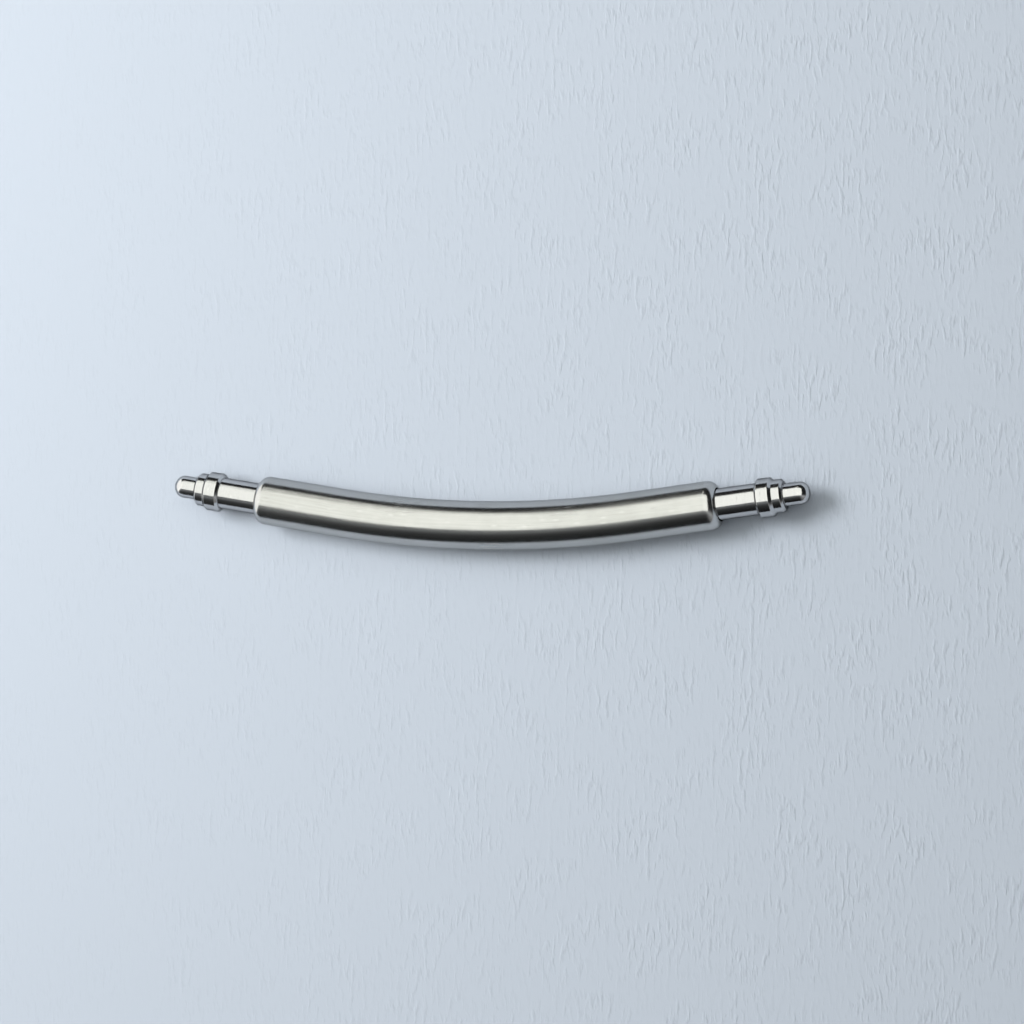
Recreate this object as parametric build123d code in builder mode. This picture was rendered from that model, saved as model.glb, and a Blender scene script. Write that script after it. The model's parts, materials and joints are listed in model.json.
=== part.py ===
from build123d import *
import os
from math import asin, cos, degrees, dist, pi, radians, sin, sqrt

# Curved spring bar with double flanges, for the strap of a round watch case.
# A bent steel barrel holds a coil spring, which pushes a turned pin out of each mouth.
# Sizes are in millimetres and angles in degrees.
# +X runs along the bar, its ends lean towards +Y, and the barrel lies on Z = 0.

# Barrel: a drawn tube, bent in its middle, with both mouths curled in over the pins
barrel_diameter = 1.80
barrel_wall = 0.20
barrel_bend_radius = 40.5
barrel_bend_degrees = 16.65
barrel_straight = 3.08
curl_inner_radius = 0.22
curl_depth = 0.09

# Pins: one turned piece each, with a shank, two flanges, a tip, a head and a guide tail
pin_clearance = 0.03
shank_length = 1.47
inner_flange_height = 0.14
inner_flange_length = 0.61
outer_flange_height = 0.03
outer_flange_length = 0.40
flange_bevel = 0.09
tip_diameter = 0.82
tip_flat_diameter = 0.10
tip_length = 0.91
head_length = 0.40
tail_length = 1.10
tail_bevel = 0.06

# Spring: round wire in one even coil between the two heads
spring_wire = 0.18
spring_turns = 25
spring_clearance = 0.12
spring_seat_gap = 0.02
tail_clearance = 0.08

# Radii that follow from each other, from the barrel inwards
barrel_radius = barrel_diameter / 2
bore_radius = barrel_radius - barrel_wall
mouth_radius = bore_radius - curl_depth
shank_radius = mouth_radius - pin_clearance
head_radius = bore_radius - pin_clearance
inner_flange_radius = shank_radius + inner_flange_height
outer_flange_radius = shank_radius + outer_flange_height
tip_radius = tip_diameter / 2
tip_round = (tip_diameter - tip_flat_diameter) / 2
wire_radius = spring_wire / 2
coil_radius = bore_radius - spring_clearance - wire_radius
tail_radius = coil_radius - wire_radius - tail_clearance

# The curl: its two faces share one centre line, and the outer one ends at the mouth
curl_centre_radius = bore_radius - curl_inner_radius
curl_outer_radius = curl_inner_radius + barrel_wall
head_round = curl_inner_radius - pin_clearance
curl_outer_end = degrees(asin((mouth_radius - curl_centre_radius) / curl_outer_radius))
curl_inner_end = degrees(asin((mouth_radius - curl_centre_radius) / curl_inner_radius))
head_round_end = degrees(asin((shank_radius - curl_centre_radius) / head_round))
curl_length = curl_outer_radius * cos(radians(curl_outer_end))

# Places along the pin, measured outwards from the mouth of the barrel
inner_flange_end = shank_length + inner_flange_length
outer_flange_end = inner_flange_end + outer_flange_length
tip_end = outer_flange_end + tip_length
head_back = -curl_length - head_length
tail_end = head_back - tail_length

# The bend: each end of the barrel leans by half of it
lean = radians(barrel_bend_degrees) / 2
bend_half_length = barrel_bend_radius * lean
bend_rise = barrel_bend_radius * (1 - cos(lean))


def rise(along, out, rounding=0):
    """Rise towards +Y, over the middle of the barrel's axis, of an edge at one end.

    The edge lies at a distance along the end's axis from the mouth, and out from the axis.
    """
    return bend_rise + (barrel_straight + along) * sin(lean) + out * cos(lean) + rounding


# The origin is the middle of the bar's outline, on the surface that it lies on
highest_rise = max(
    rise(inner_flange_end - flange_bevel, inner_flange_radius),
    rise(outer_flange_end - flange_bevel, outer_flange_radius),
    rise(tip_end - tip_round, tip_radius - tip_round, tip_round),
    rise(-curl_length, curl_centre_radius, curl_outer_radius),
)
axis_y = (barrel_radius - highest_rise) / 2
axis_z = barrel_radius
bend_centre = Vector(0, axis_y + barrel_bend_radius, axis_z)


def centre_line(along):
    """Point, direction and inward normal of the barrel's axis, at a length from its middle."""
    turn = max(-lean, min(lean, along / barrel_bend_radius))
    straight = along - turn * barrel_bend_radius
    direction = Vector(cos(turn), sin(turn), 0)
    inward = Vector(-sin(turn), cos(turn), 0)
    return bend_centre - inward * barrel_bend_radius + direction * straight, direction, inward


def mouth_plane(side):
    """Plane at one mouth, with its x out along the pin and its y across, side being 1 or -1."""
    point, direction, _ = centre_line(side * (bend_half_length + barrel_straight))
    return Plane(origin=point, x_dir=direction * side, z_dir=(0, 0, side))


right_mouth = mouth_plane(1)
left_mouth = mouth_plane(-1)
upright = Vector(0, 0, 1)

# Barrel: the bent middle is turned about the centre of the bend, each end about its own axis
bend_start, bend_start_direction, _ = centre_line(-bend_half_length)
with BuildPart() as barrel:
    with BuildSketch(Plane(origin=bend_start, x_dir=upright, z_dir=bend_start_direction)):
        Circle(barrel_radius)
        Circle(bore_radius, mode=Mode.SUBTRACT)
    revolve(axis=Axis(bend_centre, upright), revolution_arc=barrel_bend_degrees)
    for mouth in (left_mouth, right_mouth):
        with BuildSketch(mouth) as end_wall:
            with BuildLine():
                curl_inside = CenterArc(
                    (-curl_length, curl_centre_radius), curl_inner_radius, 90, curl_inner_end - 90
                )
                curl_outside = CenterArc(
                    (-curl_length, curl_centre_radius),
                    curl_outer_radius,
                    curl_outer_end,
                    90 - curl_outer_end,
                )
                Line(curl_inside @ 1, curl_outside @ 0)
                Polyline(
                    curl_outside @ 1,
                    (-barrel_straight, barrel_radius),
                    (-barrel_straight, bore_radius),
                    curl_inside @ 0,
                )
            make_face()
        revolve(axis=Axis(mouth.origin, mouth.x_dir))

# Pins: the head is rounded in front to lie inside the curl, and the tail guides the spring
pins = []
for mouth in (left_mouth, right_mouth):
    with BuildPart() as pin:
        with BuildSketch(mouth):
            with BuildLine():
                head_front = CenterArc(
                    (-curl_length, curl_centre_radius), head_round, head_round_end, 90 - head_round_end
                )
                tip_front = CenterArc(
                    (tip_end - tip_round, tip_radius - tip_round), tip_round, 0, 90
                )
                Polyline(
                    head_front @ 1,
                    (head_back, head_radius),
                    (head_back, tail_radius),
                    (tail_end + tail_bevel, tail_radius),
                    (tail_end, tail_radius - tail_bevel),
                    (tail_end, 0),
                    (tip_end, 0),
                    tip_front @ 0,
                )
                Polyline(
                    tip_front @ 1,
                    (outer_flange_end, tip_radius),
                    (outer_flange_end, outer_flange_radius - flange_bevel),
                    (outer_flange_end - flange_bevel, outer_flange_radius),
                    (inner_flange_end, outer_flange_radius),
                    (inner_flange_end, inner_flange_radius - flange_bevel),
                    (inner_flange_end - flange_bevel, inner_flange_radius),
                    (shank_length + flange_bevel, inner_flange_radius),
                    (shank_length, inner_flange_radius - flange_bevel),
                    (shank_length, shank_radius),
                    head_front @ 0,
                )
            make_face()
        revolve(axis=Axis(mouth.origin, mouth.x_dir))
    pins.append(pin)
left_pin, right_pin = pins

# Spring: the coil follows the barrel's axis from one head to the other
coil_half_length = (
    bend_half_length + barrel_straight + head_back - wire_radius - spring_seat_gap
)
coil_pitch = 2 * coil_half_length / spring_turns


def coil_point(turn):
    """Point on the middle of the wire, after so many turns, and the wire's direction there."""
    along = turn * coil_pitch - coil_half_length
    centre, direction, inward = centre_line(along)
    angle = 2 * pi * turn
    outward = inward * cos(angle) + upright * sin(angle)
    around = upright * cos(angle) - inward * sin(angle)
    bent = abs(along) < bend_half_length
    stretch = 1 - coil_radius * cos(angle) / barrel_bend_radius if bent else 1
    heading = direction * stretch * coil_pitch + around * coil_radius * 2 * pi
    return centre + outward * coil_radius, heading.normalized()


def biarc_middle(start, start_heading, end, end_heading):
    """Point where two arcs, each tangent to one end's heading, join without a kink."""
    chord = end - start
    headings = start_heading + end_heading
    spread = 2 * (1 - start_heading.dot(end_heading))
    reach = chord.dot(headings)
    arm = (sqrt(reach**2 + spread * chord.dot(chord)) - reach) / spread
    joint = (start + start_heading * arm + end - end_heading * arm) / 2
    return joint, chord - headings * arm


first_point, first_heading = coil_point(0)
with BuildPart() as spring:
    with BuildLine() as coil:
        for half_turn in range(2 * spring_turns):
            start, start_heading = coil_point(half_turn / 2)
            end, end_heading = coil_point((half_turn + 1) / 2)
            joint, joint_heading = biarc_middle(start, start_heading, end, end_heading)
            TangentArc(start, joint, tangent=start_heading)
            TangentArc(joint, end, tangent=joint_heading)
    with BuildSketch(Plane(origin=first_point, z_dir=first_heading)):
        Circle(wire_radius)
    sweep()

# The least gap between turns is measured on points, between those over half a turn apart
points_per_turn = 24
wire_points = [
    tuple(coil_point(step / points_per_turn)[0]) for step in range(spring_turns * points_per_turn)
]
least_gap = min(
    dist(point, other)
    for index, point in enumerate(wire_points)
    for other in wire_points[index + points_per_turn // 2 : index + 2 * points_per_turn]
) - spring_wire
wire_length = sum(edge.length for edge in coil.edges())
wire_volume = wire_length * pi * wire_radius**2
print(f"spring: {spring_turns} turns, pitch {coil_pitch:.3f}, least gap between turns {least_gap:.3f}")
print(f"spring: wire {wire_length:.2f} long, volume {spring.part.volume:.4f}, by section {wire_volume:.4f}")

os.makedirs("parts", exist_ok=True)
for name, piece in (
    ("barrel", barrel),
    ("left_pin", left_pin),
    ("right_pin", right_pin),
    ("spring", spring),
):
    piece.part.label = name
    export_step(piece.part, f"parts/{name}.step")
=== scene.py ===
"""Looks of a curved spring bar with double flanges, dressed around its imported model.

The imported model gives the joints, from which the bar's axis is worked out. Every surface here is a
profile carried along that axis: the bent barrel with its curled mouths, the two turned pins and the
coil inside. Sizes are real ones in millimetres and are turned into metres where a mesh is made.
"""

import json
import logging
import math
from dataclasses import dataclass, field
from enum import Enum

import bpy
import numpy as np
from mathutils import Matrix, Vector


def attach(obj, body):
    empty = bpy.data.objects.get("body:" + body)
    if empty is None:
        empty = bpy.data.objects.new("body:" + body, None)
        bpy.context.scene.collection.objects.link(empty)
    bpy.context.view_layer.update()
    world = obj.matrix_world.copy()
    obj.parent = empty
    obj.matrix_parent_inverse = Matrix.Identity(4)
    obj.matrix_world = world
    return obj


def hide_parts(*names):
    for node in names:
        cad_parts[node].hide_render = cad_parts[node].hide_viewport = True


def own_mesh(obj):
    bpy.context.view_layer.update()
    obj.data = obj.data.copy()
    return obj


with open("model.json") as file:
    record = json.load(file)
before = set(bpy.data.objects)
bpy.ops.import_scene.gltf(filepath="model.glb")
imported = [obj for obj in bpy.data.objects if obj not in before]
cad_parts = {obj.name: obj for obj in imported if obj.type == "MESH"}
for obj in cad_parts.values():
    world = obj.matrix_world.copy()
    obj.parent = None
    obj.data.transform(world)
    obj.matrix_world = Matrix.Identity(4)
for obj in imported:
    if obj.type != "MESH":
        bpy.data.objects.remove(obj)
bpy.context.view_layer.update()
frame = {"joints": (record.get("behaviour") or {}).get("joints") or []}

log = logging.getLogger("spring_bar")

MM = 0.001

# Length of each straight end of the barrel, in millimetres
STRAIGHT_END = 3.08
# Points nearer together than this, in millimetres, are one point
ONE_POINT = 1e-9

Array = np.ndarray
Socket = bpy.types.NodeSocket
Triple = tuple[float, float, float]
Span = tuple[float, float]

UPWARD = np.array([0.0, 0.0, 1.0])


# Shapes: arrays of points in millimetres


@dataclass(frozen=True)
class Axis:
    """The bar's axis: a bend between two straight ends, level above the floor.

    At a length s from the middle, the axis turns by t, which is s over the bend's radius, held
    within plus and minus the lean of the ends. The point there is the bend's centre, less the
    radius along the inward normal at t, plus what is left of s along the tangent at t.
    """

    lean: float
    bend_radius: float
    straight: float
    centre_y: float
    height: float

    @classmethod
    def from_joint(cls, joint: dict, straight: float) -> "Axis":
        """Work the axis out from the right pin's slide, which starts at the barrel's mouth.

        Args:
            joint: The joint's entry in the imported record.
            straight: Length of each straight end of the barrel, in millimetres.

        Returns:
            The axis that passes through that mouth in the direction of the slide.
        """
        mouth = np.array(joint["pos_m"]) / MM
        outward = -np.array(joint["axis"])
        lean = math.atan2(outward[1], outward[0])
        bend_end = mouth - outward * straight
        radius = bend_end[0] / math.sin(lean)
        return cls(lean, radius, straight, bend_end[1] + radius * math.cos(lean), mouth[2])

    @property
    def half_length(self) -> float:
        """Length of the axis from the barrel's middle to its mouth."""
        return self.bend_radius * self.lean + self.straight

    def at(self, along: Array) -> tuple[Array, Array, Array]:
        """Points, tangents and inward normals at lengths from the middle.

        Args:
            along: Lengths along the axis, of any shape.

        Returns:
            Three arrays with one more dimension of three.
        """
        turn = np.clip(along / self.bend_radius, -self.lean, self.lean)
        rest = along - turn * self.bend_radius
        level = np.zeros_like(turn)
        tangent = np.stack([np.cos(turn), np.sin(turn), level], -1)
        inward = np.stack([-np.sin(turn), np.cos(turn), level], -1)
        centre = np.array([0.0, self.centre_y, self.height])
        return centre - inward * self.bend_radius + tangent * rest[..., None], tangent, inward


@dataclass
class Outline:
    """A profile of a turned or drawn piece, as corners of along and out, with rounded edges.

    Each corner is replaced by an arc that touches both of its sides. With a and b the unit vectors
    to the corner's neighbours and h half of the angle between them, the arc starts at the radius
    over the tangent of h along a, ends as far along b, and its centre lies at the radius over the
    sine of h along the middle of a and b. Points on the arc are the spherical blend of its two end
    radii. Each straight stretch is cut where half a cosine wave crowds the cuts towards its ends,
    so that its shading stays flat.
    """

    corners: list[tuple[float, float]]
    rounds: list[float]
    closed: bool = False
    arc_step_degrees: float = 6.0
    longest_step: float = 0.25
    fewest_cuts: int = 4

    def arcs(self) -> list[tuple[Array, float]]:
        """Each corner's arc, or the corner itself where it is sharp or an end of an open profile.

        Returns:
            For each corner, points of shape (n, 2) and 1 for an outward edge or 0 for an inner one.
        """
        corner = np.array(self.corners)
        to_last = np.roll(corner, 1, 0) - corner
        to_next = np.roll(corner, -1, 0) - corner
        to_last /= np.linalg.norm(to_last, axis=1)[:, None]
        to_next /= np.linalg.norm(to_next, axis=1)[:, None]
        half = np.arccos(np.clip((to_last * to_next).sum(1), -1, 1)) / 2
        swing = np.pi - 2 * half
        bulge = to_last[:, 0] * to_next[:, 1] > to_last[:, 1] * to_next[:, 0]
        made = []
        for place, before, after, h, turn, radius, out in zip(
            corner, to_last, to_next, half, swing, self.rounds, bulge
        ):
            if radius == 0:
                made.append((place[None], 0.0))
                continue
            steps = max(self.fewest_cuts, math.ceil(math.degrees(turn) / self.arc_step_degrees))
            share = np.linspace(0, 1, steps + 1)[:, None]
            centre = place + (before + after) * radius / (2 * math.sin(h) * math.cos(h))
            start = place + before * radius / math.tan(h) - centre
            end = place + after * radius / math.tan(h) - centre
            arc = start * np.sin((1 - share) * turn) + end * np.sin(share * turn)
            made.append((centre + arc / math.sin(turn), float(out)))
        return made

    def points(self) -> tuple[Array, Array]:
        """The outline's points and how much each belongs to an outward edge.

        Returns:
            Points of shape (n, 2), and n values from 0 on a flat stretch to 1 on an outward edge.
        """
        arcs = self.arcs()
        following = [*arcs[1:], arcs[0]] if self.closed else [*arcs[1:], None]
        places, edges = [], []
        for (arc, out), after in zip(arcs, following):
            places.append(arc)
            edges.append(np.full(len(arc), out))
            if after is None:
                break
            begin, finish = arc[-1], after[0][0]
            stretch = float(np.linalg.norm(finish - begin))
            cuts = max(self.fewest_cuts, math.ceil(stretch / self.longest_step))
            shares = (1 - np.cos(np.pi * np.arange(1, cuts) / cuts)) / 2
            places.append(begin + (finish - begin) * shares[:, None])
            edges.append(np.zeros(cuts - 1))
        return np.concatenate(places), np.concatenate(edges)


@dataclass
class Skin:
    """A grid of points that closes into a surface, with what its finish reads at each point.

    Rows run along the piece and columns run round it. The columns always close into a ring. The
    finish reads each point's place on the piece laid straight, its first part along the axis, and
    how far the point belongs to an outward edge.
    """

    points: Array
    unbent: Array
    edge: Array
    ring_of_rows: bool = False

    def to_object(self, name: str, body: str, slot: str, *nodes: str) -> bpy.types.Object:
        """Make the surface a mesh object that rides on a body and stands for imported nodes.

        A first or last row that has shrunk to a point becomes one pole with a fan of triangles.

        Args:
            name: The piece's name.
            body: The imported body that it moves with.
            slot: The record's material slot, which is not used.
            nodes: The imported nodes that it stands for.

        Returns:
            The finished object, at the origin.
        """
        rows, sides = self.points.shape[:2]
        poles = [] if self.ring_of_rows else [row for row in (0, rows - 1) if self.is_pole(row)]
        keep = np.ones((rows, sides), bool)
        for row in poles:
            keep[row, 1:] = False
        number = np.cumsum(keep.ravel()).reshape(rows, sides) - 1
        for row in poles:
            number[row] = number[row, 0]
        upper = number if self.ring_of_rows else number[:-1]
        lower = np.roll(number, -1, 0) if self.ring_of_rows else number[1:]
        corners = np.stack([upper, np.roll(upper, -1, 1), np.roll(lower, -1, 1), lower], -1)
        corners = corners.reshape(-1, 4)
        at_first = corners[:, 0] == corners[:, 1]
        at_last = corners[:, 2] == corners[:, 3]
        fans = [corners[at_first][:, [0, 2, 3]], corners[at_last][:, :3]]
        faces = [*corners[~(at_first | at_last)].tolist(), *np.concatenate(fans).tolist()]
        mesh = bpy.data.meshes.new(name)
        mesh.from_pydata((self.points[keep] * MM).tolist(), [], faces)
        unbent = mesh.attributes.new("unbent", "FLOAT_VECTOR", "POINT")
        unbent.data.foreach_set("vector", (self.unbent[keep] * MM).astype(np.float32).ravel())
        edge = mesh.attributes.new("edge", "FLOAT", "POINT")
        edge.data.foreach_set("value", self.edge[keep].astype(np.float32))
        mesh.polygons.foreach_set("use_smooth", np.ones(len(mesh.polygons), bool))
        mesh.update()
        mesh.validate()
        piece = bpy.data.objects.new(name, mesh)
        bpy.context.scene.collection.objects.link(piece)
        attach(piece, body)
        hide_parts(*nodes)
        return piece

    def is_pole(self, row: int) -> bool:
        """Whether all the points of a row fall together."""
        return bool(np.ptp(self.points[row], axis=0).max() < ONE_POINT)


def carry_round(axis: Axis, outline: Outline, sides: int, side: int = 1) -> Skin:
    """Carry an outline round the bar's axis.

    The point at a share of the turn is the axis's point at the outline's length along, plus the
    outline's distance out times the cosine of the angle along the inward normal and its sine
    upwards. Seen along the axis the columns run so that faces point outwards.

    Args:
        axis: The bar's axis.
        outline: Lengths along the axis from the bar's middle, and distances out from it.
        sides: Number of columns.
        side: 1 for the right half or the whole bar, -1 to lay the outline on the left half.

    Returns:
        The closed surface.
    """
    profile, edge = outline.points()
    along = profile[:, 0] * side
    angle = np.linspace(0, 2 * np.pi, sides, endpoint=False) * side
    point, _, inward = axis.at(along)
    across = np.cos(angle)[None, :, None] * profile[:, 1, None, None]
    up = np.sin(angle)[None, :, None] * profile[:, 1, None, None]
    points = point[:, None] + inward[:, None] * across + UPWARD * up
    lengths = np.broadcast_to(along[:, None, None], across.shape)
    unbent = np.concatenate([lengths, across, up], -1)
    return Skin(points, unbent, np.broadcast_to(edge[:, None], across.shape[:2]), outline.closed)


# Finishes: node groups that more than one metal uses, then the metals


class Grain(Enum):
    """Which way the fine lines of a metal's making run."""

    ALONG = "along"
    AROUND = "around"


class NodeSheet:
    """A node tree being written: adds nodes and their links."""

    # A Mix node's sockets share their names, so those for colours are told by their places
    mix_share, mix_first, mix_second, mix_result = 0, 6, 7, 2

    def __init__(self, tree: bpy.types.NodeTree) -> None:
        """Empty a tree and start writing on it."""
        tree.nodes.clear()
        self.tree = tree

    def add(self, kind: str, **settings: object) -> bpy.types.Node:
        """Add a node.

        Args:
            kind: The node's type, without the ShaderNode prefix.
            settings: A name with a small first letter is a property of the node. One with a capital
                is an input, with underscores for spaces, and takes a value or the socket that
                feeds it.

        Returns:
            The node.
        """
        node = self.tree.nodes.new("ShaderNode" + kind)
        for name, value in settings.items():
            if name[0].islower():
                setattr(node, name, value)
            else:
                self.feed(node.inputs[name.replace("_", " ")], value)
        return node

    def feed(self, socket: Socket, value: object) -> None:
        """Link a socket to an input, or set the input's value.

        Args:
            socket: The input.
            value: The socket that feeds it, or its value.
        """
        if isinstance(value, Socket):
            self.tree.links.new(value, socket)
        else:
            socket.default_value = value

    def result(self, node: bpy.types.Node, values: tuple[object, ...]) -> Socket:
        """Feed a node's inputs in their order and take its first output.

        Args:
            node: The node.
            values: Sockets or values, one for each of its first inputs.

        Returns:
            The node's first output.
        """
        for socket, value in zip(node.inputs, values):
            self.feed(socket, value)
        return node.outputs[0]

    def math(self, operation: str, *values: Socket | float, clamp: bool = False) -> Socket:
        """Add a Math node on sockets or numbers and return its result."""
        return self.result(self.add("Math", operation=operation, use_clamp=clamp), values)

    def vector(self, operation: str, *values: Socket | Triple) -> Socket:
        """Add a Vector Math node on sockets or vectors and return its result."""
        return self.result(self.add("VectorMath", operation=operation), values)

    def spread(self, value: Socket, given: Span, wanted: Span = (0.0, 1.0)) -> Socket:
        """Map a value from one range to another, held within the second."""
        ends = {"From_Min": given[0], "From_Max": given[1], "To_Min": wanted[0], "To_Max": wanted[1]}
        return self.add("MapRange", Value=value, **ends).outputs[0]

    def noise(self, place: Socket, scale: Socket | float, detail: float, rough: float = 0.5) -> Socket:
        """Add a noise texture on a vector and return its value."""
        node = self.add("TexNoise", Vector=place, Scale=scale, Detail=detail, Roughness=rough)
        return node.outputs[0]

    def blend(self, share: Socket, first: Socket | Triple, second: Socket | Triple) -> Socket:
        """Mix two colours, each a socket or red, green and blue.

        Args:
            share: How much of the second there is, from 0 to 1.
            first: The first colour.
            second: The second colour.

        Returns:
            The mixed colour.
        """
        node = self.add("Mix", data_type="RGBA")
        self.feed(node.inputs[self.mix_share], share)
        for place, colour in ((self.mix_first, first), (self.mix_second, second)):
            self.feed(node.inputs[place], (*colour, 1.0) if isinstance(colour, tuple) else colour)
        return node.outputs[self.mix_result]

    def some_cells(self, place: Socket, share: Socket, reach: Socket | float, kind: str = "3D") -> Socket:
        """Spots at the centres of some of the cells of a plain cell texture.

        A spot is one less the distance from its cell's centre over the reach, and not below zero.
        Only the cells whose own grey is under the share have one.

        Args:
            place: The vector that the cells are laid out on, where they are about one unit wide.
            share: How many of the cells have a spot, from 0 to 1.
            reach: Distance from the centre at which a spot ends.
            kind: Whether the cells are flat ("2D") or solid ("3D").

        Returns:
            The spots, from 0 outside them to 1 at their centres.
        """
        cells = self.add("TexVoronoi", voronoi_dimensions=kind, Vector=place, Scale=1.0)
        grey = self.add("SeparateColor", Color=cells.outputs["Color"]).outputs["Red"]
        chosen = self.math("LESS_THAN", grey, share)
        away = self.math("DIVIDE", cells.outputs["Distance"], reach)
        return self.math("MULTIPLY", self.math("SUBTRACT", 1.0, away, clamp=True), chosen)


class Effect:
    """A shader node group, made once and placed in each metal with its own values.

    Its vector is a place on the piece, in metres or in the widths and lengths of lines or marks.
    """

    name: str
    inputs: tuple[tuple[str, float], ...]
    output: str

    @classmethod
    def group(cls) -> bpy.types.NodeTree:
        """Write the group's sockets and nodes, when it is first asked for.

        Returns:
            The group's tree.
        """
        tree = bpy.data.node_groups.get(cls.name)
        if tree:
            return tree
        tree = bpy.data.node_groups.new(cls.name, "ShaderNodeTree")
        tree.interface.new_socket(name="Place", in_out="INPUT", socket_type="NodeSocketVector")
        for label, value in cls.inputs:
            socket = tree.interface.new_socket(name=label, in_out="INPUT", socket_type="NodeSocketFloat")
            socket.default_value = value
        tree.interface.new_socket(name=cls.output, in_out="OUTPUT", socket_type="NodeSocketFloat")
        sheet = NodeSheet(tree)
        given = tree.nodes.new("NodeGroupInput").outputs
        result = tree.nodes.new("NodeGroupOutput").inputs[cls.output]
        sheet.feed(result, cls.write(sheet, given))
        return tree

    @classmethod
    def write(cls, sheet: NodeSheet, given: bpy.types.NodeOutputs) -> Socket:
        """Write the group's nodes on its inputs and return the socket that holds its effect."""
        raise NotImplementedError

    @classmethod
    def place(cls, sheet: NodeSheet, place: Socket, **values: Socket | float) -> Socket:
        """Put the group in a metal's tree.

        Args:
            sheet: The metal's tree.
            place: The vector that the effect is laid out on.
            values: The group's own inputs.

        Returns:
            The effect.
        """
        node = sheet.tree.nodes.new("ShaderNodeGroup")
        node.node_tree = cls.group()
        sheet.feed(node.inputs["Place"], place)
        for label, value in values.items():
            sheet.feed(node.inputs[label], value)
        return node.outputs[0]


class MakingLines(Effect):
    """Fine lines left by the die or the lathe, broken up so that none runs on for ever."""

    name = "making_lines"
    inputs = (("Fineness", 2.7),)
    output = "Lines"
    fine_strength = 0.5

    @classmethod
    def write(cls, sheet: NodeSheet, given: bpy.types.NodeOutputs) -> Socket:
        """Two layers of noise on the stretched place, the finer one half as strong.

        Args:
            sheet: The group's tree.
            given: The group's inputs.

        Returns:
            The lines.
        """
        broad = sheet.noise(given["Place"], scale=1.0, detail=3.0, rough=0.6)
        fine = sheet.noise(given["Place"], scale=given["Fineness"], detail=2.0)
        return sheet.math("MULTIPLY_ADD", fine, cls.fine_strength, broad)


class HairScratches(Effect):
    """Fine straight scratches from handling, which taper to both ends and lie in loose patches."""

    name = "hair_scratches"
    inputs = (("Slant", 0.05), ("Share", 0.12))
    output = "Scratches"
    cell_length = 3.2 * MM
    cell_width = 0.10 * MM
    reach = 0.34
    patch_scale = 700.0
    patch_span = (0.42, 0.62)
    patch_strength = (0.1, 1.0)

    @classmethod
    def write(cls, sheet: NodeSheet, given: bpy.types.NodeOutputs) -> Socket:
        """Spots in some of the long thin cells of the surface unrolled.

        The place across is the angle round the piece times the distance from its middle, plus the
        slant times the place along. The scratches are faint outside the patches of a broad noise.

        Args:
            sheet: The group's tree.
            given: The group's inputs.

        Returns:
            The scratches, from 0 beside them to 1 along their middles.
        """
        along, across, up = sheet.add("SeparateXYZ", Vector=given["Place"]).outputs
        squares = sheet.math("MULTIPLY_ADD", up, up, sheet.math("MULTIPLY", across, across))
        angle = sheet.math("ARCTAN2", up, across)
        unrolled = sheet.math("MULTIPLY", angle, sheet.math("SQRT", squares))
        leaning = sheet.math("MULTIPLY_ADD", along, given["Slant"], unrolled)
        net = sheet.add("CombineXYZ", X=along, Y=leaning).outputs[0]
        stretched = sheet.vector("MULTIPLY", net, (1 / cls.cell_length, 1 / cls.cell_width, 1.0))
        lines = sheet.some_cells(stretched, given["Share"], cls.reach, "2D")
        patches = sheet.noise(given["Place"], scale=cls.patch_scale, detail=2.0)
        strength = sheet.spread(patches, cls.patch_span, cls.patch_strength)
        return sheet.math("MULTIPLY", lines, strength)


class MarksAndPaintedGlints(Effect):
    """Tiny spots in some of the cells: dashes and nicks from tumbling, and, shifted, painted glints."""

    name = "marks_and_painted_glints"
    inputs = (("Size", 0.28), ("Share", 0.35))
    output = "Marks"

    @classmethod
    def write(cls, sheet: NodeSheet, given: bpy.types.NodeOutputs) -> Socket:
        """Spots of the given size in the given share of the cells."""
        return sheet.some_cells(given["Place"], given["Share"], given["Size"])


class SoftDents(Effect):
    """Broad, very shallow unevenness from bending and tumbling, which makes reflections waver."""

    name = "soft_dents"
    inputs = (("Scale", 900.0),)
    output = "Dents"
    squeeze = (0.5, 1.0, 1.0)

    @classmethod
    def write(cls, sheet: NodeSheet, given: bpy.types.NodeOutputs) -> Socket:
        """One broad noise that is twice as long along the bar as across it."""
        longer = sheet.vector("MULTIPLY", given["Place"], cls.squeeze)
        return sheet.noise(longer, scale=given["Scale"], detail=1.0, rough=0.4)


class HandlingFilm(Effect):
    """The uneven thin film that fingers and tumbling leave: soft clouds with finer specks."""

    name = "handling_film"
    inputs = (("Scale", 300.0),)
    output = "Film"
    times_finer = 5.0
    broad_strength, fine_strength = 0.6, 0.4
    noise_span = (0.38, 0.62)

    @classmethod
    def write(cls, sheet: NodeSheet, given: bpy.types.NodeOutputs) -> Socket:
        """Broad clouds and finer ones together, spread over the whole range.

        Args:
            sheet: The group's tree.
            given: The group's inputs.

        Returns:
            The film, from 0 where the metal is clean to 1 where it is thickest.
        """
        finer = sheet.math("MULTIPLY", given["Scale"], cls.times_finer)
        broad = sheet.noise(given["Place"], scale=given["Scale"], detail=3.0, rough=0.55)
        fine = sheet.noise(given["Place"], scale=finer, detail=4.0, rough=0.6)
        clouds = sheet.math("MULTIPLY", broad, cls.broad_strength)
        both = sheet.math("MULTIPLY_ADD", fine, cls.fine_strength, clouds)
        return sheet.spread(both, cls.noise_span)


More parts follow.
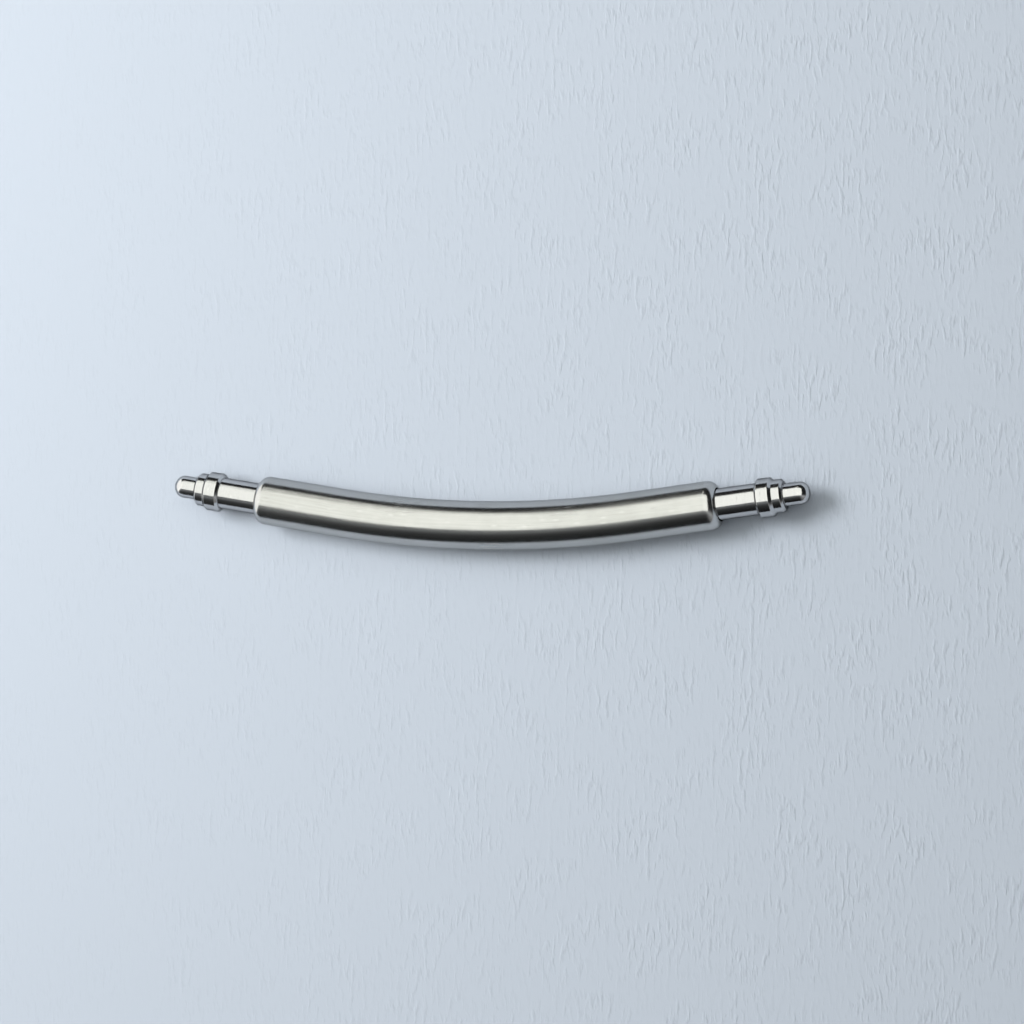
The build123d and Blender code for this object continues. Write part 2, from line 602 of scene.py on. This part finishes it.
class EdgeWear(Effect):
    """Where the outward edges have rubbed bright, broken up by a fine noise."""

    name = "edge_wear"
    inputs = (("Edge", 0.0),)
    output = "Wear"
    patch_scale = 2500.0
    patch_span = (0.35, 0.6)
    patch_strength = (0.2, 1.0)

    @classmethod
    def write(cls, sheet: NodeSheet, given: bpy.types.NodeOutputs) -> Socket:
        """The edge value times a spread noise.

        Args:
            sheet: The group's tree.
            given: The group's inputs.

        Returns:
            The wear, from 0 where there is none to 1 where an edge is bright.
        """
        patches = sheet.noise(given["Place"], scale=cls.patch_scale, detail=3.0)
        strength = sheet.spread(patches, cls.patch_span, cls.patch_strength)
        return sheet.math("MULTIPLY", given["Edge"], strength)


@dataclass(frozen=True)
class SteelFinish:
    """A bright steel, as it is drawn, turned or coiled, then tumbled and handled.

    Spacings, lengths and depths are in millimetres. Two layers of scratches cross at their slants,
    and the painted glints, lighter spots of colour that stand in for small highlights, are the small
    marks again, shifted so that they fall in other places. The shares say how far streaks, film and
    scratches change the clean metal's colour.
    """

    name: str
    tint: Triple
    film_tint: Triple
    # Lighter tint of the worn edges and of the painted glints, which stand in for small highlights
    wear_and_glint_tint: Triple
    mark_tint: Triple
    rim_tint: float
    roughness: float
    film_roughness: float
    grain: Grain
    line_spacing: float
    line_length: float
    line_depth: float
    mark_cell: Span
    mark_depth: float
    dent_depth: float
    scratch_roughness: float = 0.10
    scratch_depth: float = 0.0002
    scratch_slants: Span = (0.035, -0.06)
    # Shift that moves the small marks to other places, where they become painted glints
    painted_glint_shift: Triple = (37.0, 11.0, 5.0)
    streak_span: Span = (0.6, 0.9)
    streak_share: float = 0.4
    film_share: float = 0.6
    scratch_share: float = 0.6

    def stretch(self, spacing: float, length: float) -> Triple:
        """Factors for the parts along and across, by which a line or mark is a unit wide and long."""
        fast, slow = 1 / (spacing * MM), 1 / (length * MM)
        return (slow, fast, fast) if self.grain is Grain.ALONG else (fast, slow, slow)

    def build(self) -> bpy.types.Material:
        """Write the material: a metal whose colour, roughness and relief vary over the surface.

        Returns:
            The material, written when it is first asked for.
        """
        material = bpy.data.materials.get(self.name)
        if material:
            return material
        material = bpy.data.materials.new(self.name)
        material.use_nodes = True
        sheet = NodeSheet(material.node_tree)
        unbent = sheet.add("Attribute", attribute_name="unbent").outputs["Vector"]
        edge = sheet.add("Attribute", attribute_name="edge").outputs["Fac"]
        grain = sheet.vector("MULTIPLY", unbent, self.stretch(self.line_spacing, self.line_length))
        lines = MakingLines.place(sheet, grain)
        slanting = [HairScratches.place(sheet, unbent, Slant=slant) for slant in self.scratch_slants]
        scratches = sheet.math("MAXIMUM", *slanting)
        cells = sheet.vector("MULTIPLY", unbent, self.stretch(*self.mark_cell))
        marks = MarksAndPaintedGlints.place(sheet, cells)
        # Painted glints: the small marks again, shifted, as lighter spots that stand in for small
        # highlights
        painted_glints = MarksAndPaintedGlints.place(sheet, sheet.vector("ADD", cells, self.painted_glint_shift))
        film = HandlingFilm.place(sheet, unbent)
        dents = SoftDents.place(sheet, unbent)
        wear = EdgeWear.place(sheet, unbent, Edge=edge)

        # Colour: film and streaks dull the clean metal, marks darken it, wear and painted glints brighten
        # it
        streaks = sheet.spread(lines, self.streak_span, (0.0, self.streak_share))
        filmy = sheet.math("MULTIPLY_ADD", film, self.film_share, streaks)
        dull = sheet.math("MAXIMUM", marks, sheet.math("MULTIPLY", scratches, self.scratch_share))
        colour = sheet.blend(filmy, self.tint, self.film_tint)
        colour = sheet.blend(dull, colour, self.mark_tint)
        # Worn edges and the painted glints, lighter spots standing in for small highlights, take the
        # lighter tint
        colour = sheet.blend(sheet.math("MAXIMUM", wear, painted_glints), colour, self.wear_and_glint_tint)

        # Roughness: film, streaks and scratches each add to the clean metal's own
        rough = sheet.math("MULTIPLY_ADD", film, self.film_roughness, self.roughness)
        for effect in (streaks, scratches):
            rough = sheet.math("MULTIPLY_ADD", effect, self.scratch_roughness, rough)

        # Relief: lines and dents stand up, and scratches and marks are cut in
        relief = sheet.math("MULTIPLY", lines, self.line_depth)
        for effect, height in (
            (scratches, -self.scratch_depth),
            (marks, -self.mark_depth),
            (dents, self.dent_depth),
        ):
            relief = sheet.math("MULTIPLY_ADD", effect, height, relief)
        bump = sheet.add("Bump", Distance=MM, Height=relief).outputs[0]

        rim = (self.rim_tint, self.rim_tint, self.rim_tint, 1.0)
        shader = sheet.add("BsdfPrincipled", Base_Color=colour, Metallic=1.0, Roughness=rough, Normal=bump)
        shader.inputs["Specular Tint"].default_value = rim
        sheet.add("OutputMaterial", Surface=shader.outputs[0])
        return material


DRAWN_STEEL = SteelFinish(
    name="drawn_barrel_steel",
    tint=(0.555, 0.555, 0.546),
    film_tint=(0.484, 0.487, 0.473),
    wear_and_glint_tint=(0.575, 0.575, 0.570),
    mark_tint=(0.472, 0.474, 0.464),
    rim_tint=0.60,
    roughness=0.15,
    film_roughness=0.05,
    grain=Grain.ALONG,
    line_spacing=0.06,
    line_length=2.5,
    line_depth=0.0009,
    mark_cell=(0.20, 0.60),
    mark_depth=0.0008,
    dent_depth=0.0050,
)
TURNED_STEEL = SteelFinish(
    name="turned_pin_steel",
    tint=(0.585, 0.585, 0.590),
    film_tint=(0.555, 0.555, 0.560),
    wear_and_glint_tint=(0.62, 0.62, 0.62),
    mark_tint=(0.50, 0.50, 0.50),
    rim_tint=0.20,
    roughness=0.09,
    film_roughness=0.04,
    grain=Grain.AROUND,
    line_spacing=0.03,
    line_length=3.0,
    line_depth=0.0003,
    mark_cell=(0.15, 0.45),
    mark_depth=0.0004,
    dent_depth=0.0015,
)
SPRING_STEEL = SteelFinish(
    name="coiled_spring_steel",
    tint=(0.52, 0.52, 0.50),
    film_tint=(0.45, 0.44, 0.42),
    wear_and_glint_tint=(0.60, 0.60, 0.58),
    mark_tint=(0.40, 0.39, 0.37),
    rim_tint=0.5,
    roughness=0.22,
    film_roughness=0.10,
    grain=Grain.AROUND,
    line_spacing=0.04,
    line_length=1.0,
    line_depth=0.0004,
    mark_cell=(0.10, 0.30),
    mark_depth=0.0003,
    dent_depth=0.0,
)


# Pieces: each holds its sizes and makes and dresses its meshes


class End(Enum):
    """The two ends of the bar, as the sign of the direction in which each points along X."""

    LEFT = -1
    RIGHT = 1

    @property
    def word(self) -> str:
        """The end's name as it stands in the names of pieces, bodies and joints."""
        return self.name.lower()


@dataclass
class Barrel:
    """The bent tube, with both mouths curled in over the heads of the pins."""

    axis: Axis
    radius: float = 0.90
    wall: float = 0.20
    curl_inner_radius: float = 0.22
    curl_depth: float = 0.09
    lip_round: float = 0.02
    sides: int = 144

    @property
    def bore_radius(self) -> float:
        """Radius of the tube's bore."""
        return self.radius - self.wall

    @property
    def mouth_radius(self) -> float:
        """Radius of the hole that the curl leaves for the pin's shank."""
        return self.bore_radius - self.curl_depth

    @property
    def curl_centre_radius(self) -> float:
        """Distance from the axis to the ring that both faces of the curl are struck from."""
        return self.bore_radius - self.curl_inner_radius

    @property
    def curl_length(self) -> float:
        """Length from the start of the curl to the mouth."""
        return self.curl_reach(self.curl_inner_radius + self.wall, self.mouth_radius)[0]

    def curl_reach(self, radius: float, end_radius: float) -> tuple[float, float]:
        """Where an arc struck from the curl's ring ends, and where its end tangents meet.

        With the sine of an angle equal to the end's distance past the ring over the arc's radius,
        the arc ends at the radius times the cosine of that angle along the axis. Its tangents meet
        at the radius times the tangent of half of the arc's turn along the axis.

        Args:
            radius: The arc's radius.
            end_radius: Distance from the axis at which it ends.

        Returns:
            Lengths along the axis, from the ring, of the arc's end and of its corner.
        """
        angle = math.asin((end_radius - self.curl_centre_radius) / radius)
        return radius * math.cos(angle), radius * math.tan((math.pi / 2 - angle) / 2)

    def outline(self) -> Outline:
        """The tube's section as one closed line: outside, lip, bore and lip again.

        Returns:
            The section, with its lengths measured from the bar's middle.
        """
        outer_radius = self.curl_inner_radius + self.wall
        _, outer_corner = self.curl_reach(outer_radius, self.mouth_radius)
        inner_end, inner_corner = self.curl_reach(self.curl_inner_radius, self.mouth_radius)
        ring = self.axis.half_length - self.curl_length
        half = [
            (ring + outer_corner, self.radius, outer_radius - 2 * self.lip_round),
            (self.axis.half_length, self.mouth_radius, self.lip_round),
            (ring + inner_end, self.mouth_radius, 0.0),
            (ring + inner_corner, self.bore_radius, self.curl_inner_radius),
        ]
        whole = half + [(-along, out, rounding) for along, out, rounding in reversed(half)]
        return Outline([row[:2] for row in whole], [row[2] for row in whole], closed=True)

    def make(self) -> bpy.types.Object:
        """Make and dress the barrel.

        Returns:
            The finished piece.
        """
        skin = carry_round(self.axis, self.outline(), self.sides)
        piece = skin.to_object("barrel_tube", "barrel", "barrel_steel", "barrel")
        piece.data.materials.append(DRAWN_STEEL.build())
        return piece


@dataclass
class Pin:
    """A turned pin: tip, two flanges, shank, a head that the curl holds in, and a guide tail."""

    barrel: Barrel
    end: End
    clearance: float = 0.03
    shank_length: float = 1.47
    inner_flange_height: float = 0.14
    inner_flange_length: float = 0.61
    outer_flange_height: float = 0.03
    outer_flange_length: float = 0.40
    flange_bevel: float = 0.09
    tip_radius: float = 0.41
    tip_flat_radius: float = 0.05
    tip_length: float = 0.91
    head_length: float = 0.40
    tail_radius: float = 0.32
    tail_length: float = 1.10
    tail_bevel: float = 0.06
    edge_round: float = 0.03
    corner_round: float = 0.02
    sides: int = 112

    @property
    def head_back(self) -> float:
        """Place of the head's rear face, outwards from the mouth, so below zero."""
        return -self.barrel.curl_length - self.head_length

    def outline(self) -> Outline:
        """Half of the pin's section, from the end of its tail to the end of its tip.

        Returns:
            The open section, with its lengths measured from the bar's middle.
        """
        ring = -self.barrel.curl_length
        shank = self.barrel.mouth_radius - self.clearance
        head = self.barrel.bore_radius - self.clearance
        head_round = self.barrel.curl_inner_radius - self.clearance
        front_end, front_corner = self.barrel.curl_reach(head_round, shank)
        inner = shank + self.inner_flange_height
        outer = shank + self.outer_flange_height
        inner_end = self.shank_length + self.inner_flange_length
        outer_end = inner_end + self.outer_flange_length
        tip_end = outer_end + self.tip_length
        tail_end = self.head_back - self.tail_length
        bevel, edge, corner = self.flange_bevel, self.edge_round, self.corner_round
        rows = [
            (tail_end, 0.0, 0.0),
            (tail_end, self.tail_radius - self.tail_bevel, corner),
            (tail_end + self.tail_bevel, self.tail_radius, corner),
            (self.head_back, self.tail_radius, corner),
            (self.head_back, head, corner),
            (ring + front_corner, head, head_round),
            (ring + front_end, shank, 0.0),
            (self.shank_length, shank, corner),
            (self.shank_length, inner - bevel, edge),
            (self.shank_length + bevel, inner, edge),
            (inner_end - bevel, inner, edge),
            (inner_end - bevel + inner - outer, outer, corner),
            (outer_end - bevel, outer, edge),
            (outer_end, outer - bevel, edge),
            (outer_end, self.tip_radius, corner),
            (tip_end, self.tip_radius, self.tip_radius - self.tip_flat_radius),
            (tip_end, 0.0, 0.0),
        ]
        mouth = self.barrel.axis.half_length
        return Outline([(mouth + along, out) for along, out, _ in rows], [row[2] for row in rows])

    def make(self) -> bpy.types.Object:
        """Make and dress the pin.

        Returns:
            The finished piece.
        """
        word = self.end.word
        skin = carry_round(self.barrel.axis, self.outline(), self.sides, self.end.value)
        piece = skin.to_object(f"{word}_pin_turned", f"{word}_pin", "pin_steel", f"{word}_pin")
        piece.data.materials.append(TURNED_STEEL.build())
        return piece


@dataclass
class CoilSpring:
    """The coil between the two heads, in two halves that both ride on the barrel."""

    pin: Pin
    wire_radius: float = 0.09
    turns: int = 25
    clearance: float = 0.12
    seat_gap: float = 0.02
    rings_per_turn: int = 36
    sides: int = 16
    travel: float = 1.40

    @property
    def coil_radius(self) -> float:
        """Distance from the barrel's axis to the middle of the wire."""
        return self.pin.barrel.bore_radius - self.clearance - self.wire_radius

    @property
    def half_length(self) -> float:
        """Length of the axis from the barrel's middle to the last ring of wire."""
        axis = self.pin.barrel.axis
        return axis.half_length + self.pin.head_back - self.wire_radius - self.seat_gap

    def skin(self, end: End) -> Skin:
        """The tube of wire on one half of the coil.

        The middle of the wire at a number of turns lies on the barrel's axis, that share of the
        length along, plus the coil's radius times the cosine of the turn's angle along the inward
        normal and its sine upwards. The ring there has the wire's radius, in the plane of the
        outward direction and its cross product with the wire's heading. A ring of no radius closes
        each end.

        Args:
            end: The half to make.

        Returns:
            The closed surface.
        """
        axis = self.pin.barrel.axis
        rings = self.rings_per_turn * self.turns // 2 + 1
        from_middle = np.linspace(0, self.turns / 2, rings)
        turn = self.turns / 2 + from_middle * end.value
        along = (turn / self.turns * 2 - 1) * self.half_length
        angle = 2 * np.pi * turn[:, None]
        centre, _, inward = axis.at(along)
        outward = inward * np.cos(angle) + UPWARD * np.sin(angle)
        path = centre + outward * self.coil_radius
        heading = np.gradient(path, axis=0)
        heading /= np.linalg.norm(heading, axis=1)[:, None]
        side = np.cross(heading, outward)
        side /= np.linalg.norm(side, axis=1)[:, None]
        cover = [0, *range(rings), rings - 1]
        radius = np.full(rings + 2, self.wire_radius)
        radius[[0, -1]] = 0.0
        around = np.linspace(0, 2 * np.pi, self.sides, endpoint=False)[None, :, None]
        spoke = outward[cover][:, None] * np.cos(around) + side[cover][:, None] * np.sin(around)
        points = path[cover][:, None] + spoke * radius[:, None, None]
        unbent = np.empty_like(points)
        unbent[..., 0] = (turn * 2 * np.pi * self.coil_radius)[cover][:, None]
        unbent[..., 1] = np.cos(around[..., 0]) * radius[:, None]
        unbent[..., 2] = np.sin(around[..., 0]) * radius[:, None]
        return Skin(points, unbent, np.zeros(points.shape[:2]))

    def make(self) -> list[bpy.types.Object]:
        """Make and dress both halves, which both ride on the barrel.

        Returns:
            The two finished pieces.
        """
        axis = self.pin.barrel.axis
        middle, _, _ = axis.at(np.array(0.0))
        pieces = []
        for end in End:
            name = f"spring_{end.word}_half"
            piece = self.skin(end).to_object(name, "barrel", "spring_steel", "spring")
            piece.data.materials.append(SPRING_STEEL.build())
            last, tangent, _ = axis.at(np.array(self.half_length * end.value))
            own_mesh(piece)
            pieces.append(piece)
        return pieces


# Surroundings: paper, light and camera


@dataclass(frozen=True)
class PaperFinish:
    """Plain pale paper with faint fibres that run one way.

    Sizes are in millimetres. The fibres lie in patches and grow stronger from the faint end to the
    strong end, places along X, so the paper turns slightly darker and more streaked towards +X.
    """

    name: str = "pale_paper"
    tint: Triple = (0.335, 0.372, 0.436)
    fibre_tint: Triple = (0.314, 0.349, 0.409)
    roughness: float = 0.85
    fibre_width: float = 0.17
    fibre_length: float = 0.60
    fibre_depth: float = 0.018
    fibre_span: Span = (0.48, 0.70)
    patch: float = 1.8
    patch_span: Span = (0.4, 0.6)
    patch_strength: Span = (0.25, 1.0)
    faint_end: float = -18.0
    strong_end: float = 14.0
    end_strength: Span = (0.24, 1.0)

    def build(self) -> bpy.types.Material:
        """Write the material on the floor's own coordinates.

        Returns:
            The material.
        """
        material = bpy.data.materials.new(self.name)
        material.use_nodes = True
        sheet = NodeSheet(material.node_tree)
        place = sheet.add("TexCoord").outputs["Object"]
        scale = (1 / (self.fibre_width * MM), 1 / (self.fibre_length * MM), 1.0)
        fibres = sheet.noise(sheet.vector("MULTIPLY", place, scale), scale=1.0, detail=2.0)
        along = sheet.add("SeparateXYZ", Vector=place).outputs["X"]
        ends = (self.faint_end * MM, self.strong_end * MM)
        rising = sheet.spread(along, ends, self.end_strength)
        patches = sheet.noise(place, scale=1 / (self.patch * MM), detail=2.0)
        patchy = sheet.spread(patches, self.patch_span, self.patch_strength)
        strength = sheet.math("MULTIPLY", rising, patchy)
        share = sheet.math("MULTIPLY", sheet.spread(fibres, self.fibre_span), strength)
        colour = sheet.blend(share, self.tint, self.fibre_tint)
        height = sheet.math("MULTIPLY", share, self.fibre_depth)
        bump = sheet.add("Bump", Distance=MM, Height=height).outputs[0]
        shader = sheet.add("BsdfPrincipled", Base_Color=colour, Roughness=self.roughness, Normal=bump)
        sheet.add("OutputMaterial", Surface=shader.outputs[0])
        return material


@dataclass(frozen=True)
class LightPanel:
    """A soft rectangular light, given by its middle, its sides and how bright its face looks.

    Places and sides are in millimetres. A light that isn't mirrored falls on everything but is
    left out of reflections.
    """

    name: str
    centre: Triple
    sides: Span
    facing: Triple
    brightness: float
    tint: Triple
    mirrored: bool = True

    def make(self) -> None:
        """Hang the light.

        Its power is its brightness times pi times its area, which gives its face that brightness.
        """
        light = bpy.data.lights.new(self.name, "AREA")
        light.shape = "RECTANGLE"
        light.size, light.size_y = (side * MM for side in self.sides)
        light.energy = self.brightness * math.pi * light.size * light.size_y
        light.color = self.tint
        lamp = bpy.data.objects.new(self.name, light)
        lamp.location = Vector(self.centre) * MM
        lamp.rotation_euler = Vector(self.facing).to_track_quat("-Z", "Y").to_euler()
        lamp.visible_camera = False
        lamp.visible_glossy = self.mirrored
        bpy.context.scene.collection.objects.link(lamp)


DOWN: Triple = (0.0, 0.0, -1.0)
RIGHT: Triple = (1.0, 0.0, 0.0)
SLANTING: Triple = (0.61, -0.23, -0.76)
OVERHEAD_TINT: Triple = (0.99, 1.0, 0.935)
SIDE_TINT: Triple = (1.0, 0.995, 0.96)


@dataclass
class Studio:
    """Paper on a table under soft lights, in a dim room.

    A wide light and a narrow one hang overhead and another stands at the left. A small strong key
    light, which reflections leave out, casts the bar's shadow. The room's light follows a
    direction's part towards -Y: it is brightest just past the front edge of the wide light and dies
    away towards the horizon. A glow is added where a direction leans both to -Y and to +X.
    """

    floor_size: float = 900.0
    backdrop: Triple = (0.62, 0.67, 0.70)
    room_tint: Triple = (0.94, 0.98, 1.0)
    room_light: tuple[Span, ...] = (
        (0.00, 0.020),
        (0.30, 0.030),
        (0.45, 0.250),
        (0.56, 0.200),
        (0.63, 0.120),
        (0.70, 0.065),
        (0.81, 0.040),
        (0.91, 0.024),
        (1.00, 0.012),
    )
    glow: float = 0.24
    glow_ahead: Span = (0.15, 0.5)
    glow_aside: Span = (0.15, 0.65)
    paper: PaperFinish = field(default_factory=PaperFinish)
    panels: tuple[LightPanel, ...] = (
        LightPanel("overhead_light", (11.5, 81.0, 200.0), (277.0, 338.0), DOWN, 1.5, OVERHEAD_TINT),
        LightPanel("far_light", (-112.0, 385.0, 200.0), (46.0, 270.0), DOWN, 1.5, OVERHEAD_TINT),
        LightPanel("left_light", (-130.0, 60.0, 101.0), (280.0, 198.0), RIGHT, 1.5, SIDE_TINT),
        LightPanel("key_light", (-80.0, 30.0, 100.0), (60.0, 60.0), SLANTING, 18.5, SIDE_TINT, False),
    )

    def make(self) -> None:
        """Make the floor, the lights and the surroundings."""
        half = self.floor_size * MM / 2
        mesh = bpy.data.meshes.new("paper_floor")
        corners = [(-half, -half, 0.0), (half, -half, 0.0), (half, half, 0.0), (-half, half, 0.0)]
        mesh.from_pydata(corners, [], [(0, 1, 2, 3)])
        floor = bpy.data.objects.new("paper_floor", mesh)
        mesh.materials.append(self.paper.build())
        bpy.context.scene.collection.objects.link(floor)
        for panel in self.panels:
            panel.make()
        self.surroundings()

    def surroundings(self) -> None:
        """The room's own light, in place of which the camera sees a plain pale backdrop."""
        world = bpy.data.worlds.new("studio_room")
        world.use_nodes = True
        sheet = NodeSheet(world.node_tree)
        direction = sheet.vector("NORMALIZE", sheet.add("TexCoord").outputs["Generated"])
        parts = sheet.add("SeparateXYZ", Vector=direction).outputs
        forward = sheet.math("MULTIPLY", parts["Y"], -1.0, clamp=True)
        ramp = sheet.add("ValToRGB", Fac=forward)
        stops = ramp.color_ramp.elements
        stops.remove(stops[1])
        for index, (place, light) in enumerate(self.room_light):
            stop = stops[0] if index == 0 else stops.new(place)
            stop.position = place
            stop.color = (*(light * part for part in self.room_tint), 1.0)
        ahead = sheet.spread(forward, self.glow_ahead)
        aside = sheet.spread(parts["X"], self.glow_aside, (0.0, self.glow))
        glow = sheet.math("MULTIPLY", ahead, aside)
        white = sheet.add("CombineXYZ", X=glow, Y=glow, Z=glow).outputs[0]
        lit = sheet.vector("ADD", ramp.outputs[0], white)
        seen = sheet.add("LightPath").outputs["Is Camera Ray"]
        colour = sheet.blend(seen, lit, self.backdrop)
        room = sheet.add("Background", Color=colour)
        sheet.add("OutputWorld", Surface=room.outputs[0])
        bpy.context.scene.world = world


@dataclass(frozen=True)
class PhotoCamera:
    """A camera that looks at the bar as the photograph does.

    Its back direction has azimuth, measured from -Y towards +X, and elevation. Its own right is the
    bar's length as the camera sees it, turned about the line of sight by a small angle. It looks at
    the aim, a place on the paper, from the distance. Angles are in degrees, lengths in millimetres.
    """

    azimuth: float = 85.40
    elevation: float = 71.28
    bar_turn: float = 0.677
    distance: float = 174.98
    focal_pixels: float = 4757.0
    frame_pixels: float = 1024.0
    sensor: float = 36.0
    aim: Span = (0.717, 0.046)
    nearest: float = 1.0
    farthest: float = 10000.0

    def make(self) -> None:
        """Place the camera and make it the scene's own."""
        azimuth, elevation = math.radians(self.azimuth), math.radians(self.elevation)
        back = Vector((
            math.sin(azimuth) * math.cos(elevation),
            -math.cos(azimuth) * math.cos(elevation),
            math.sin(elevation),
        ))
        length = Vector((1.0, 0.0, 0.0))
        level = (length - back * length.dot(back)).normalized()
        right = Matrix.Rotation(math.radians(self.bar_turn), 3, back) @ level
        turned = Matrix((right, back.cross(right), back)).transposed()
        data = bpy.data.cameras.new("photo_camera")
        data.sensor_width = self.sensor
        data.lens = self.focal_pixels / self.frame_pixels * self.sensor
        data.clip_start, data.clip_end = self.nearest * MM, self.farthest * MM
        camera = bpy.data.objects.new("photo_camera", data)
        place = Vector((*self.aim, 0.0)) + back * self.distance
        camera.matrix_world = Matrix.Translation(place * MM) @ turned.to_4x4()
        bpy.context.scene.collection.objects.link(camera)
        bpy.context.scene.camera = camera


def main() -> None:
    """Make and report every piece, then the floor, the lights and the camera."""
    logging.basicConfig(level=logging.INFO, format="%(name)s: %(message)s")
    right_slide = next(joint for joint in frame["joints"] if joint["name"] == "right_pin_slide")
    barrel = Barrel(Axis.from_joint(right_slide, STRAIGHT_END))
    pins = [Pin(barrel, end) for end in End]
    pieces = [barrel.make(), *(pin.make() for pin in pins), *CoilSpring(pins[0]).make()]
    for piece in pieces:
        mesh = piece.data
        log.info("%s: %d points, %d faces", piece.name, len(mesh.vertices), len(mesh.polygons))
    Studio().make()
    PhotoCamera().make()
    bpy.context.scene.view_settings.view_transform = "Standard"


if __name__ == "__main__":
    main()
